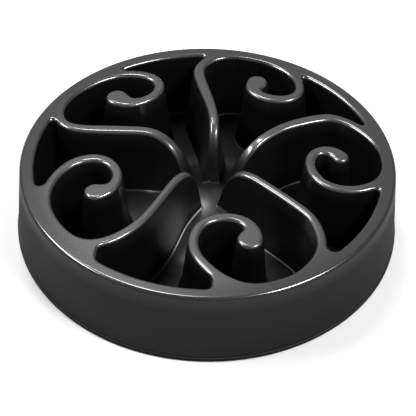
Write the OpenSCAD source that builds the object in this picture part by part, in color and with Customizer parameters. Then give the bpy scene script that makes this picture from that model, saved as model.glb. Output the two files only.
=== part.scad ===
// Slow feeder bowl: one moulded maze bowl standing on a soft foot ring.
// Millimetres, +Z up, the underside of the foot ring at z = 0, axis of the rim on Z.

/* [Overall] */
// Diameter of the rim at its top edge
rim_diameter = 260; // [180:1:340]
// Height from the ground to the flat tops of the rim and ridges
bowl_height = 55; // [35:0.5:80]
// Outward lean of the outer wall towards the ground, in degrees
skirt_lean = 5; // [0:0.25:9]
// Thickness of the moulded wall
wall = 2.4; // [1.5:0.1:4]

/* [Rim] */
// Width of the flat ring around the maze
rim_width = 9.9; // [6:0.1:16]
// Radius of the rim's outer edge
rim_round = 2.6; // [1:0.1:4]

/* [Maze] */
// Draft of the pocket walls, in degrees
pocket_draft = 6; // [2:0.25:10]
// Radius along the upper edges of the ridges
ridge_round = 2.6; // [1:0.1:2.8]
// Stations between two points of a ridge line
ridge_stations = 1; // [1:1:4]
// Extra width added to every ridge, each side
ridge_extra = 0.35; // [-0.3:0.05:1]

/* [Floor] */
// Height of the pocket floor above the ground
floor_height = 4.2; // [3.8:0.1:8]
// Thickness of the floor
floor_thickness = 2; // [1.4:0.1:3]
// Rise of the dome in the middle of the floor
dome_rise = 16; // [0:0.5:25]
// Radius over which the dome runs out
dome_radius = 56; // [30:1:80]

/* [Foot ring] */
// Height of the soft ring seen below the outer wall
foot_height = 3.5; // [2:0.1:6]
// Thickness of soft material under the wall's edge
foot_pad = 1.6; // [1:0.1:3]
// Depth of the rebate in the wall that takes the ring
foot_rebate = 1.1; // [0.5:0.1:1.6]
// How far the ring stands out from the wall
foot_proud = 0.4; // [0:0.1:1]
// Height of the fine shadow groove above the ring
foot_groove = 0.4; // [0.1:0.1:1]
// Thickness of the ring's inner lip
foot_lip = 1.4; // [0.8:0.1:3]
// Height of the ring's inner lip
foot_lip_height = 5; // [3:0.1:9]

/* [Colours] */
// Colour of the moulded bowl
bowl_colour = [0.07, 0.07, 0.075];
// Colour of the foot ring
foot_colour = [0.05, 0.05, 0.05];

/* [Hidden] */
R = rim_diameter / 2;
H = bowl_height;
pocket_radius = R - rim_width;
skirt_slope = tan(skirt_lean);
draft_slope = tan(pocket_draft);
foot_outer = R + H * skirt_slope;
fit_share = 0.05;
fit_gap = wall * fit_share;
lap_share = 0.2;
lap = wall * lap_share;
over_share = 0.4;
over = wall * over_share;
rim_facets = 96;
floor_facets = 60;
nose_facets = 24;
core_facets = 8;
core_least_share = 0.2;
core_least = wall * core_least_share;
core_lead = 2;
slice_share = 0.1;
slice_thickness = wall * slice_share;
full_share = 0.999;
edge_share = 0.9;
growth_share = 0.8;
core_drop_share = 1.15;
core_drop = wall * core_drop_share;
half_turn = 180;
right_angle = 90;
steps = 2;
dome_steps = 7;
under_facets = 32;
under_steps = 4;
// share of the rim radius on which a ridge line runs inside the rim
rim_line = (R + pocket_radius) / 2 / R;
// half width of a web's end on the rim, as a share of the rim radius
rim_end_share = 0.029;
// radius of the ring's outer lower edge, as a share of the pad's thickness
bead_share = 0.9;

// Each ridge line starts at the round tip of a curl, follows the curl to the rim,
// runs along the rim and leaves it as a long ridge that sinks towards the middle.
// Columns: across and up as shares of the rim radius, half width as a share of the
// rim radius, top as a share of the bowl's height.
front_shares = [
  [0.220, -0.584, 0.0675, 1], [0.234, -0.540, 0.052, 1], [0.234, -0.500, 0.037, 1],
  [0.211, -0.459, 0.031, 1], [0.166, -0.427, 0.028, 1], [0.104, -0.414, 0.0265, 1],
  [0.035, -0.429, 0.0255, 1], [-0.020, -0.464, 0.0255, 1], [-0.052, -0.517, 0.0255, 1],
  [-0.068, -0.590, 0.0255, 1], [-0.060, -0.658, 0.0255, 1], [-0.034, -0.718, 0.0255, 1],
  [0.005, -0.770, 0.027, 1], [0.051, -0.824, 0.029, 1], [0.120, -0.878, 0.030, 1],
  [0.211, -0.913, 0.030, 1], [0.300, -0.905, 0.030, 1], [0.366, -0.880, 0.030, 1],
  [0.429, -0.850, 0.030, 1], [0.486, -0.805, 0.030, 1], [0.533, -0.745, 0.029, 1],
  [0.568, -0.680, 0.0275, 1], [0.584, -0.612, 0.0255, 1], [0.582, -0.547, 0.0245, 1],
  [0.568, -0.482, 0.024, 1], [0.548, -0.425, 0.0235, 1], [0.519, -0.375, 0.023, 1],
  [0.458, -0.311, 0.0225, 1], [0.387, -0.242, 0.0225, 1], [0.316, -0.176, 0.0225, 1],
  [0.262, -0.127, 0.0225, 1], [0.227, -0.102, 0.0225, 1], [0.197, -0.081, 0.0225, 0.985],
  [0.171, -0.063, 0.0225, 0.955], [0.147, -0.048, 0.022, 0.90], [0.125, -0.034, 0.0215, 0.82],
  [0.107, -0.024, 0.021, 0.72], [0.094, -0.017, 0.0205, 0.60], [0.085, -0.012, 0.0195, 0.46],
  [0.077, -0.008, 0.0185, 0.31], [0.068, -0.003, 0.018, 0.14]];

right_shares = [
  [0.716, 0.060, 0.043, 1], [0.694, 0.095, 0.040, 1], [0.648, 0.122, 0.032, 1],
  [0.592, 0.114, 0.028, 1], [0.556, 0.076, 0.0262, 1], [0.543, 0.022, 0.0255, 1],
  [0.549, -0.042, 0.0255, 1], [0.574, -0.098, 0.0255, 1], [0.614, -0.148, 0.0255, 1],
  [0.676, -0.182, 0.026, 1], [0.740, -0.190, 0.026, 1], [0.803, -0.182, 0.027, 1],
  [0.862, -0.160, 0.0275, 1], [0.909, -0.122, 0.0275, 1], [0.940, -0.068, 0.0275, 1],
  [0.955, -0.010, 0.0275, 1], [0.957, 0.048, 0.0275, 1], [0.948, 0.108, 0.0275, 1],
  [0.926, 0.172, 0.0275, 1], [0.893, 0.228, 0.0275, 1], [0.856, 0.277, 0.027, 1],
  [0.814, 0.322, 0.026, 1], [0.768, 0.358, 0.025, 1], [0.717, 0.386, 0.026, 1],
  [0.662, 0.400, 0.0285, 1], [0.598, 0.385, 0.030, 1], [0.527, 0.361, 0.030, 1],
  [0.464, 0.334, 0.0295, 1], [0.402, 0.301, 0.028, 1], [0.346, 0.257, 0.027, 1],
  [0.292, 0.210, 0.0255, 0.99], [0.249, 0.168, 0.025, 0.955], [0.212, 0.137, 0.0245, 0.89],
  [0.181, 0.114, 0.0235, 0.79], [0.157, 0.097, 0.022, 0.65], [0.139, 0.085, 0.0205, 0.48],
  [0.126, 0.076, 0.019, 0.31], [0.115, 0.068, 0.018, 0.14]];

far_right_shares = [
  [0.273, 0.701, 0.060, 1], [0.243, 0.648, 0.044, 1], [0.254, 0.605, 0.032, 1],
  [0.296, 0.568, 0.0305, 1], [0.350, 0.548, 0.0305, 1], [0.404, 0.545, 0.0295, 1],
  [0.454, 0.557, 0.028, 1], [0.492, 0.587, 0.0265, 1], [0.512, 0.632, 0.0245, 1],
  [0.511, 0.684, 0.024, 1], [0.494, 0.742, 0.025, 1], [0.456, 0.799, 0.0265, 1],
  [0.403, 0.848, 0.0275, 1], [0.344, 0.887, 0.0275, 1], [0.275, 0.921, 0.0275, 1],
  [0.205, 0.939, 0.0275, 1], [0.138, 0.943, 0.0275, 1], [0.068, 0.936, 0.0275, 1],
  [0.012, 0.910, 0.0285, 1], [-0.037, 0.866, 0.029, 1], [-0.062, 0.818, 0.030, 1],
  [-0.067, 0.772, 0.031, 1], [-0.058, 0.717, 0.0305, 1], [-0.037, 0.640, 0.030, 1],
  [-0.012, 0.556, 0.029, 1], [0.010, 0.474, 0.027, 1], [0.023, 0.400, 0.0255, 1],
  [0.027, 0.350, 0.025, 0.99], [0.029, 0.302, 0.0225, 0.955], [0.028, 0.260, 0.0195, 0.89],
  [0.026, 0.225, 0.017, 0.78], [0.025, 0.197, 0.0145, 0.62], [0.024, 0.178, 0.0125, 0.45],
  [0.023, 0.162, 0.011, 0.29], [0.023, 0.146, 0.010, 0.14]];

far_left_shares = [
  [-0.529, 0.531, 0.066, 1], [-0.466, 0.484, 0.042, 1], [-0.414, 0.486, 0.030, 1],
  [-0.360, 0.510, 0.027, 1], [-0.315, 0.549, 0.0265, 1], [-0.287, 0.600, 0.0275, 1],
  [-0.286, 0.652, 0.0285, 1], [-0.309, 0.699, 0.0285, 1], [-0.352, 0.728, 0.0275, 1],
  [-0.405, 0.741, 0.026, 1], [-0.459, 0.742, 0.025, 1], [-0.516, 0.737, 0.026, 1],
  [-0.574, 0.717, 0.0275, 1], [-0.635, 0.682, 0.0275, 1], [-0.701, 0.628, 0.0275, 1],
  [-0.762, 0.566, 0.0275, 1], [-0.806, 0.497, 0.0275, 1], [-0.832, 0.426, 0.0275, 1],
  [-0.834, 0.361, 0.0275, 1], [-0.812, 0.302, 0.0275, 1], [-0.771, 0.267, 0.027, 1],
  [-0.712, 0.249, 0.0285, 1], [-0.636, 0.246, 0.030, 1], [-0.568, 0.247, 0.0305, 1],
  [-0.500, 0.247, 0.0305, 1], [-0.438, 0.247, 0.0305, 1], [-0.378, 0.247, 0.030, 1],
  [-0.322, 0.240, 0.0295, 1], [-0.270, 0.220, 0.028, 0.985], [-0.221, 0.190, 0.0265, 0.945],
  [-0.178, 0.162, 0.0255, 0.87], [-0.145, 0.139, 0.0245, 0.76], [-0.120, 0.121, 0.023, 0.61],
  [-0.102, 0.108, 0.0215, 0.45], [-0.089, 0.098, 0.020, 0.29], [-0.078, 0.089, 0.019, 0.14]];

left_shares = [
  [-0.592, -0.257, 0.0605, 1], [-0.532, -0.243, 0.042, 1], [-0.492, -0.207, 0.031, 1],
  [-0.475, -0.154, 0.0262, 1], [-0.478, -0.096, 0.026, 1], [-0.506, -0.037, 0.027, 1],
  [-0.555, 0.003, 0.0285, 1], [-0.610, 0.012, 0.029, 1], [-0.672, -0.001, 0.028, 1],
  [-0.730, -0.037, 0.0262, 1], [-0.780, -0.098, 0.0245, 1], [-0.810, -0.160, 0.0245, 1],
  [-0.830, -0.220, 0.0255, 1], [-0.838, -0.276, 0.027, 1], [-0.836, -0.335, 0.0275, 1],
  [-0.821, -0.400, 0.0275, 1], [-0.790, -0.470, 0.028, 1], [-0.747, -0.536, 0.029, 1],
  [-0.699, -0.591, 0.030, 1], [-0.647, -0.625, 0.0295, 1], [-0.591, -0.636, 0.028, 1],
  [-0.534, -0.626, 0.0265, 1], [-0.477, -0.601, 0.0265, 1], [-0.421, -0.560, 0.0255, 1],
  [-0.367, -0.506, 0.0248, 1], [-0.327, -0.453, 0.024, 1], [-0.290, -0.392, 0.0235, 1],
  [-0.253, -0.318, 0.0225, 1], [-0.211, -0.232, 0.0225, 1], [-0.177, -0.162, 0.0225, 1],
  [-0.151, -0.128, 0.0225, 1], [-0.133, -0.105, 0.0225, 0.99], [-0.115, -0.0855, 0.0225, 0.97],
  [-0.0975, -0.067, 0.0225, 0.925], [-0.083, -0.053, 0.022, 0.84],
  [-0.0725, -0.043, 0.0215, 0.70], [-0.066, -0.036, 0.0205, 0.51],
  [-0.061, -0.031, 0.019, 0.31], [-0.055, -0.025, 0.018, 0.14]];

// Webs that fill the narrow wedges between a ridge line and the rim. Each row holds
// the first and last points of the line taken and the bearings on the rim, in
// degrees, at which the web starts and ends.
front_webs = [[13, 16, 273.4, 287], [19, 21.5, 301, 313.7]];
right_webs = [[12, 14.5, 350, 356], [18, 20.5, 11, 19]];
far_right_webs = [[9.8, 14, 56.1, 73], [16, 18, 83, 90.5]];
far_left_webs = [[11, 14, 126.9, 138], [16, 19.2, 148.5, 157.8]];
left_webs = [[12.4, 17, 195.7, 214], [17, 20.6, 215.7, 233.6]];

lines = [front_shares, right_shares, far_right_shares, far_left_shares, left_shares];
webs = [front_webs, right_webs, far_right_webs, far_left_webs, left_webs];

function row_mix(p, a, b, c, d) = (p[0] * a + p[1] * b + p[2] * c + p[3] * d) / 6;
function ends(p) = concat([p[0], p[0]], p, [p[len(p) - 1], p[len(p) - 1]]);
function weights(t) = [pow(1 - t, 3), 3 * pow(t, 3) - 6 * t * t + 4,
  -3 * pow(t, 3) + 3 * t * t + 3 * t + 1, pow(t, 3)];
// A point on a ridge line at place u, counted in rows of its table
function line_at(p, u) =
  let (q = ends(p), i = min(floor(u), len(p) - 1), w = weights(u - i))
  row_mix([q[i + 1], q[i + 2], q[i + 3], q[min(i + 4, len(q) - 1)]], w[0], w[1], w[2], w[3]);
function rim_at(bearing) = [rim_line * cos(bearing), rim_line * sin(bearing), rim_end_share, 1];
function mix(a, b, t) = a + (b - a) * t;

// Half width of a ridge at its top, widening with the draft where the ridge sinks
function half_width(s) = s[2] * R + ridge_extra + (H - s[3] * H) * draft_slope;
// Radius along the upper edges, growing where the ridge sinks
function edge_radius(s) = min(half_width(s) * edge_share,
  ridge_round + (H - s[3] * H) * draft_slope * growth_share);
// Direction in which a ridge line runs at place u
function heading(p, u) =
  let (a = line_at(p, max(u - 1, 0)), b = line_at(p, min(u + 1, len(p) - 1)))
  atan2(b[1] - a[1], b[0] - a[0]);
// Whether a ridge has begun to sink just past place u
function sinks(p, u) = line_at(p, min(u + 1, len(p) - 1))[3] < full_share;
// The row from which the hollow under a ridge is made; its top sinks before the ridge's
function hollow_at(p, u) =
  let (s = line_at(p, u)) [s[0], s[1], s[2], line_at(p, min(u + core_lead, len(p) - 1))[3]];

// Section of a ridge at one station: rounded upper edge and drafted side. A ridge of
// full height runs past the top and is trimmed level with all the others.
function nose_section(s, low) =
  let (r = half_width(s), edge = edge_radius(s), top = s[3] * H,
    past = top > H - lap / 10 ? over : 0)
  concat(
    [[0, low], [r + (top - edge - low) * draft_slope, low]],
    [for (k = [0:steps]) [r - edge + edge * cos(k * right_angle / steps),
      top - edge + edge * sin(k * right_angle / steps)]],
    [[r - edge, top + past], [0, top + past]]);

// Section of the hollow under a ridge, run past its trimming plane in the same way
function core_section(s, low) =
  let (r = half_width(s), edge = edge_radius(s), top = s[3] * H,
    past = top > H - lap / 10 ? over : 0,
    inner = max(core_least, r - wall - (edge - min(edge, ridge_round)) / 2))
  [[0, low], [r + (top - edge - low) * draft_slope - wall, low],
    [inner, top - core_drop], [inner, top - core_drop + past], [0, top - core_drop + past]];

function dome(r) = r >= dome_radius ? 0 : dome_rise * (1 + cos(half_turn * r / dome_radius)) / 2;

module nose(s, low) {
  translate([s[0] * R, s[1] * R, 0])
    rotate_extrude($fn = nose_facets)
      polygon(nose_section(s, low));
}

module core(s, low) {
  translate([s[0] * R, s[1] * R, 0])
    rotate_extrude($fn = core_facets)
      polygon(core_section(s, low));
}

// A section set across the line as a thin slice, both sides of it
module slice(s, bearing, side) {
  last = len(side) - 2;
  translate([s[0] * R, s[1] * R, 0])
    rotate([right_angle, 0, bearing + right_angle])
      linear_extrude(slice_thickness, center = true)
        polygon(concat([for (k = [1:last]) side[k]],
          [for (k = [last:-1:1]) [-side[k][0], side[k][1]]]));
}

// One station of a ridge: a round nose, or a slice once the ridge sinks
module station(p, u, low) {
  if (sinks(p, u)) slice(line_at(p, u), heading(p, u), nose_section(line_at(p, u), low));
  else nose(line_at(p, u), low);
}

module core_station(p, u, low) {
  if (sinks(p, u)) slice(line_at(p, u), heading(p, u), core_section(hollow_at(p, u), low));
  else core(hollow_at(p, u), low);
}

// A run of stations joined pair by pair along a ridge line
module ridge(p, low) {
  n = (len(p) - 1) * ridge_stations;
  for (k = [0:n - 1])
    hull() {
      station(p, k / ridge_stations, low);
      station(p, (k + 1) / ridge_stations, low);
    }
}

module ridge_core(p, low) {
  for (k = [0:len(p) - core_lead - core_lead - 1])
    hull() {
      core_station(p, k, low);
      core_station(p, k + 1, low);
    }
}

// Fan between a ridge line and the rim
module web(p, w, low) {
  n = ceil(w[1] - w[0]);
  for (k = [0:n - 1])
    hull() {
      nose(line_at(p, mix(w[0], w[1], k / n)), low);
      nose(line_at(p, mix(w[0], w[1], (k + 1) / n)), low);
      nose(rim_at(mix(w[2], w[3], k / n)), low);
      nose(rim_at(mix(w[2], w[3], (k + 1) / n)), low);
    }
}

module web_core(p, w, low) {
  n = ceil(w[1] - w[0]);
  for (k = [0:n - 1])
    hull() {
      core(line_at(p, mix(w[0], w[1], k / n)), low);
      core(line_at(p, mix(w[0], w[1], (k + 1) / n)), low);
      core(rim_at(mix(w[2], w[3], k / n)), low);
      core(rim_at(mix(w[2], w[3], (k + 1) / n)), low);
    }
}

// Rim and skirt as one ring, from the pockets' outer wall to the leaning outside
module rim_ring() {
  low = foot_pad;
  step = foot_height + foot_groove;
  rotate_extrude($fn = rim_facets)
    polygon(concat(
      [[pocket_radius - (H - ridge_round - low) * draft_slope, low],
        [foot_outer - foot_rebate - low * skirt_slope, low],
        [foot_outer - foot_rebate - step * skirt_slope, step],
        [foot_outer - step * skirt_slope, step]],
      [for (k = [0:steps + 1]) [R - rim_round + rim_round * cos(k * right_angle / (steps + 1)),
        H - rim_round + rim_round * sin(k * right_angle / (steps + 1))]],
      [[R - rim_round, H + over], [pocket_radius + ridge_round, H + over]],
      [for (k = [0:steps]) [pocket_radius + ridge_round - ridge_round * sin(k * right_angle / steps),
        H - ridge_round + ridge_round * cos(k * right_angle / steps)]]));
}

// Hollow under the rim, open at the ground
module rim_core() {
  low = foot_pad - lap;
  high = H - core_drop;
  rotate_extrude($fn = rim_facets)
    polygon([
      [pocket_radius - (H - ridge_round - low) * draft_slope + wall, low],
      [foot_outer - low * skirt_slope - wall, low],
      [R - wall, high],
      [R - wall, high + over],
      [pocket_radius + wall, high + over],
      [pocket_radius + wall, high]]);
}

// Floor of the pockets with its dome, solid down to the skirt's lower edge
module floor_plate() {
  last = pocket_radius - (H - floor_height) * draft_slope + lap;
  rotate_extrude($fn = floor_facets)
    polygon(concat(
      [[0, foot_pad]],
      [for (k = [0:dome_steps]) [k * dome_radius / dome_steps,
        floor_height + dome(k * dome_radius / dome_steps)]],
      [[last, floor_height], [last, foot_pad]]));
}

// Space under the floor, out to the inner face of the skirt
module floor_core() {
  below = floor_height - floor_thickness;
  start = foot_pad - lap;
  reach = foot_outer - wall;
  translate([0, 0, start])
    cylinder(r1 = reach - start * skirt_slope, r2 = reach - below * skirt_slope, h = below - start,
      $fn = rim_facets);
  rotate_extrude($fn = under_facets)
    polygon(concat(
      [[0, start]],
      [for (k = [0:under_steps - 1]) [k * dome_radius / under_steps,
        below + dome(k * dome_radius / under_steps)]],
      [[dome_radius, start]]));
}

// Keeps the ridges and webs inside the rim's outer wall
module inside() {
  cylinder(r1 = R - wall / 2, r2 = R - rim_round - lap, h = H + over + over, $fn = rim_facets);
}

// Everything above a level plane
module above(height) {
  translate([-foot_outer, -foot_outer, height])
    cube([foot_outer * 2, foot_outer * 2, over * 2]);
}

module maze_bowl() {
  low = foot_pad;
  color(bowl_colour)
    difference() {
      union() {
        rim_ring();
        floor_plate();
        intersection() {
          inside();
          for (i = [0:len(lines) - 1]) {
            ridge(lines[i], low);
            web(lines[i], webs[i][0], low);
            web(lines[i], webs[i][1], low);
          }
        }
      }
      above(H);
      floor_core();
      difference() {
        union() {
          rim_core();
          for (i = [0:len(lines) - 1]) {
            ridge_core(lines[i], low - lap);
            web_core(lines[i], webs[i][0], low - lap);
            web_core(lines[i], webs[i][1], low - lap);
          }
        }
        above(H - core_drop);
      }
    }
}

// Soft ring that wraps the lower edge of the skirt
module foot_ring() {
  outer = foot_outer - foot_height * skirt_slope / 2 + foot_proud;
  seat = foot_outer - foot_rebate - foot_pad * skirt_slope;
  inner = foot_outer - foot_pad * skirt_slope - wall - fit_gap;
  bead = foot_pad * bead_share;
  soft = foot_proud;
  color(foot_colour)
    rotate_extrude($fn = rim_facets)
      polygon(concat(
        [[inner - foot_lip, 0]],
        [for (k = [0:steps]) [outer - bead + bead * sin(k * right_angle / steps),
          bead - bead * cos(k * right_angle / steps)]],
        [[outer, foot_height - soft], [outer - soft, foot_height],
          [seat - (foot_height - foot_pad) * skirt_slope, foot_height], [seat, foot_pad],
          [inner, foot_pad], [inner - foot_lip_height * skirt_slope / 2, foot_lip_height],
          [inner - foot_lip, foot_lip_height]]));
}

maze_bowl();
foot_ring();
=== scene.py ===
"""Looks of a slow feeder bowl: a moulded maze bowl on a soft foot ring.

The moulding and the ring are built again here with smooth, dense meshes from the same
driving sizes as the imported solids, and get procedural finishes, a studio and a camera.
Lengths are millimetres until a mesh is made, then metres, in the frame of the solids.
"""

import logging
import math
from dataclasses import dataclass
from enum import Enum
from functools import cached_property

import bpy
import numpy as np
from mathutils import Matrix, Vector
from mathutils.geometry import delaunay_2d_cdt


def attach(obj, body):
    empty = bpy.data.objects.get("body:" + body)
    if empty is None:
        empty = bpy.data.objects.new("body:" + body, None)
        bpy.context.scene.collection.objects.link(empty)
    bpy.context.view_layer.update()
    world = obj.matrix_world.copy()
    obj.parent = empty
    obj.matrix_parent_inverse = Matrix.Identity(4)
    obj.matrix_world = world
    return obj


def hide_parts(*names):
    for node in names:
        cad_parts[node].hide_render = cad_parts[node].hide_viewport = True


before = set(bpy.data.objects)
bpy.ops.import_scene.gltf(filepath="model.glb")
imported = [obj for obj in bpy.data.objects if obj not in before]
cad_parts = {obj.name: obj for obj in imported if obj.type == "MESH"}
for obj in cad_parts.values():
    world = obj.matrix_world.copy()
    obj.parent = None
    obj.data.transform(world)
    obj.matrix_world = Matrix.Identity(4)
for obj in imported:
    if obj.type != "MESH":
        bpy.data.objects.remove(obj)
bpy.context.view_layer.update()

LOG = logging.getLogger("feeder_bowl")
MM = 0.001
BODY = "root"
FULL_TURN = 2 * math.pi
QUARTER_DEGREES = 90.0
NOISE_MIDDLE = 0.5

# The least lengths and squares of lengths that anything is divided by.
SMALL = 1e-9
TINY = 1e-12

# Each ridge line starts at the round tip of a curl, follows the curl to the rim, runs
# along the rim and leaves it as a long ridge that sinks towards the middle. Columns:
# across and up as shares of the rim radius, half width as a share of the rim radius,
# top as a share of the bowl's height.
FRONT_SHARES = (
    (0.220, -0.584, 0.0675, 1), (0.234, -0.540, 0.052, 1), (0.234, -0.500, 0.037, 1),
    (0.211, -0.459, 0.031, 1), (0.166, -0.427, 0.028, 1), (0.104, -0.414, 0.0265, 1),
    (0.035, -0.429, 0.0255, 1), (-0.020, -0.464, 0.0255, 1),
    (-0.052, -0.517, 0.0255, 1), (-0.068, -0.590, 0.0255, 1),
    (-0.060, -0.658, 0.0255, 1), (-0.034, -0.718, 0.0255, 1), (0.005, -0.770, 0.027, 1),
    (0.051, -0.824, 0.029, 1), (0.120, -0.878, 0.030, 1), (0.211, -0.913, 0.030, 1),
    (0.300, -0.905, 0.030, 1), (0.366, -0.880, 0.030, 1), (0.429, -0.850, 0.030, 1),
    (0.486, -0.805, 0.030, 1), (0.533, -0.745, 0.029, 1), (0.568, -0.680, 0.0275, 1),
    (0.584, -0.612, 0.0255, 1), (0.582, -0.547, 0.0245, 1), (0.568, -0.482, 0.024, 1),
    (0.548, -0.425, 0.0235, 1), (0.519, -0.375, 0.023, 1), (0.458, -0.311, 0.0225, 1),
    (0.387, -0.242, 0.0225, 1), (0.316, -0.176, 0.0225, 1), (0.262, -0.127, 0.0225, 1),
    (0.227, -0.102, 0.0225, 1), (0.197, -0.081, 0.0225, 0.985),
    (0.171, -0.063, 0.0225, 0.955), (0.147, -0.048, 0.022, 0.90),
    (0.125, -0.034, 0.0215, 0.82), (0.107, -0.024, 0.021, 0.72),
    (0.094, -0.017, 0.0205, 0.60), (0.085, -0.012, 0.0195, 0.46),
    (0.077, -0.008, 0.0185, 0.31), (0.068, -0.003, 0.018, 0.14),
)
RIGHT_SHARES = (
    (0.716, 0.060, 0.043, 1), (0.694, 0.095, 0.040, 1), (0.648, 0.122, 0.032, 1),
    (0.592, 0.114, 0.028, 1), (0.556, 0.076, 0.0262, 1), (0.543, 0.022, 0.0255, 1),
    (0.549, -0.042, 0.0255, 1), (0.574, -0.098, 0.0255, 1), (0.614, -0.148, 0.0255, 1),
    (0.676, -0.182, 0.026, 1), (0.740, -0.190, 0.026, 1), (0.803, -0.182, 0.027, 1),
    (0.862, -0.160, 0.0275, 1), (0.909, -0.122, 0.0275, 1), (0.940, -0.068, 0.0275, 1),
    (0.955, -0.010, 0.0275, 1), (0.957, 0.048, 0.0275, 1), (0.948, 0.108, 0.0275, 1),
    (0.926, 0.172, 0.0275, 1), (0.893, 0.228, 0.0275, 1), (0.856, 0.277, 0.027, 1),
    (0.814, 0.322, 0.026, 1), (0.768, 0.358, 0.025, 1), (0.717, 0.386, 0.026, 1),
    (0.662, 0.400, 0.0285, 1), (0.598, 0.385, 0.030, 1), (0.527, 0.361, 0.030, 1),
    (0.464, 0.334, 0.0295, 1), (0.402, 0.301, 0.028, 1), (0.346, 0.257, 0.027, 1),
    (0.292, 0.210, 0.0255, 0.99), (0.249, 0.168, 0.025, 0.955),
    (0.212, 0.137, 0.0245, 0.89), (0.181, 0.114, 0.0235, 0.79),
    (0.157, 0.097, 0.022, 0.65), (0.139, 0.085, 0.0205, 0.48),
    (0.126, 0.076, 0.019, 0.31), (0.115, 0.068, 0.018, 0.14),
)
FAR_RIGHT_SHARES = (
    (0.273, 0.701, 0.060, 1), (0.243, 0.648, 0.044, 1), (0.254, 0.605, 0.032, 1),
    (0.296, 0.568, 0.0305, 1), (0.350, 0.548, 0.0305, 1), (0.404, 0.545, 0.0295, 1),
    (0.454, 0.557, 0.028, 1), (0.492, 0.587, 0.0265, 1), (0.512, 0.632, 0.0245, 1),
    (0.511, 0.684, 0.024, 1), (0.494, 0.742, 0.025, 1), (0.456, 0.799, 0.0265, 1),
    (0.403, 0.848, 0.0275, 1), (0.344, 0.887, 0.0275, 1), (0.275, 0.921, 0.0275, 1),
    (0.205, 0.939, 0.0275, 1), (0.138, 0.943, 0.0275, 1), (0.068, 0.936, 0.0275, 1),
    (0.012, 0.910, 0.0285, 1), (-0.037, 0.866, 0.029, 1), (-0.062, 0.818, 0.030, 1),
    (-0.067, 0.772, 0.031, 1), (-0.058, 0.717, 0.0305, 1), (-0.037, 0.640, 0.030, 1),
    (-0.012, 0.556, 0.029, 1), (0.010, 0.474, 0.027, 1), (0.023, 0.400, 0.0255, 1),
    (0.027, 0.350, 0.025, 0.99), (0.029, 0.302, 0.0225, 0.955),
    (0.028, 0.260, 0.0195, 0.89), (0.026, 0.225, 0.017, 0.78),
    (0.025, 0.197, 0.0145, 0.62), (0.024, 0.178, 0.0125, 0.45),
    (0.023, 0.162, 0.011, 0.29), (0.023, 0.146, 0.010, 0.14),
)
FAR_LEFT_SHARES = (
    (-0.529, 0.531, 0.066, 1), (-0.466, 0.484, 0.042, 1), (-0.414, 0.486, 0.030, 1),
    (-0.360, 0.510, 0.027, 1), (-0.315, 0.549, 0.0265, 1), (-0.287, 0.600, 0.0275, 1),
    (-0.286, 0.652, 0.0285, 1), (-0.309, 0.699, 0.0285, 1), (-0.352, 0.728, 0.0275, 1),
    (-0.405, 0.741, 0.026, 1), (-0.459, 0.742, 0.025, 1), (-0.516, 0.737, 0.026, 1),
    (-0.574, 0.717, 0.0275, 1), (-0.635, 0.682, 0.0275, 1), (-0.701, 0.628, 0.0275, 1),
    (-0.762, 0.566, 0.0275, 1), (-0.806, 0.497, 0.0275, 1), (-0.832, 0.426, 0.0275, 1),
    (-0.834, 0.361, 0.0275, 1), (-0.812, 0.302, 0.0275, 1), (-0.771, 0.267, 0.027, 1),
    (-0.712, 0.249, 0.0285, 1), (-0.636, 0.246, 0.030, 1), (-0.568, 0.247, 0.0305, 1),
    (-0.500, 0.247, 0.0305, 1), (-0.438, 0.247, 0.0305, 1), (-0.378, 0.247, 0.030, 1),
    (-0.322, 0.240, 0.0295, 1), (-0.270, 0.220, 0.028, 0.985),
    (-0.221, 0.190, 0.0265, 0.945), (-0.178, 0.162, 0.0255, 0.87),
    (-0.145, 0.139, 0.0245, 0.76), (-0.120, 0.121, 0.023, 0.61),
    (-0.102, 0.108, 0.0215, 0.45), (-0.089, 0.098, 0.020, 0.29),
    (-0.078, 0.089, 0.019, 0.14),
)
LEFT_SHARES = (
    (-0.592, -0.257, 0.0605, 1), (-0.532, -0.243, 0.042, 1), (-0.492, -0.207, 0.031, 1),
    (-0.475, -0.154, 0.0262, 1), (-0.478, -0.096, 0.026, 1), (-0.506, -0.037, 0.027, 1),
    (-0.555, 0.003, 0.0285, 1), (-0.610, 0.012, 0.029, 1), (-0.672, -0.001, 0.028, 1),
    (-0.730, -0.037, 0.0262, 1), (-0.780, -0.098, 0.0245, 1),
    (-0.810, -0.160, 0.0245, 1), (-0.830, -0.220, 0.0255, 1),
    (-0.838, -0.276, 0.027, 1), (-0.836, -0.335, 0.0275, 1),
    (-0.821, -0.400, 0.0275, 1), (-0.790, -0.470, 0.028, 1), (-0.747, -0.536, 0.029, 1),
    (-0.699, -0.591, 0.030, 1), (-0.647, -0.625, 0.0295, 1), (-0.591, -0.636, 0.028, 1),
    (-0.534, -0.626, 0.0265, 1), (-0.477, -0.601, 0.0265, 1),
    (-0.421, -0.560, 0.0255, 1), (-0.367, -0.506, 0.0248, 1),
    (-0.327, -0.453, 0.024, 1), (-0.290, -0.392, 0.0235, 1),
    (-0.253, -0.318, 0.0225, 1), (-0.211, -0.232, 0.0225, 1),
    (-0.177, -0.162, 0.0225, 1), (-0.151, -0.128, 0.0225, 1),
    (-0.133, -0.105, 0.0225, 0.99), (-0.115, -0.0855, 0.0225, 0.97),
    (-0.0975, -0.067, 0.0225, 0.925), (-0.083, -0.053, 0.022, 0.84),
    (-0.0725, -0.043, 0.0215, 0.70), (-0.066, -0.036, 0.0205, 0.51),
    (-0.061, -0.031, 0.019, 0.31), (-0.055, -0.025, 0.018, 0.14),
)


@dataclass(frozen=True)
class WebRange:
    """Stretch of a ridge line that a web joins to the rim."""

    first_row: float
    last_row: float
    first_bearing: float
    last_bearing: float


@dataclass(frozen=True)
class SectorPlan:
    """One ridge line with the webs that join it to the rim."""

    shares: tuple
    webs: tuple


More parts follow.
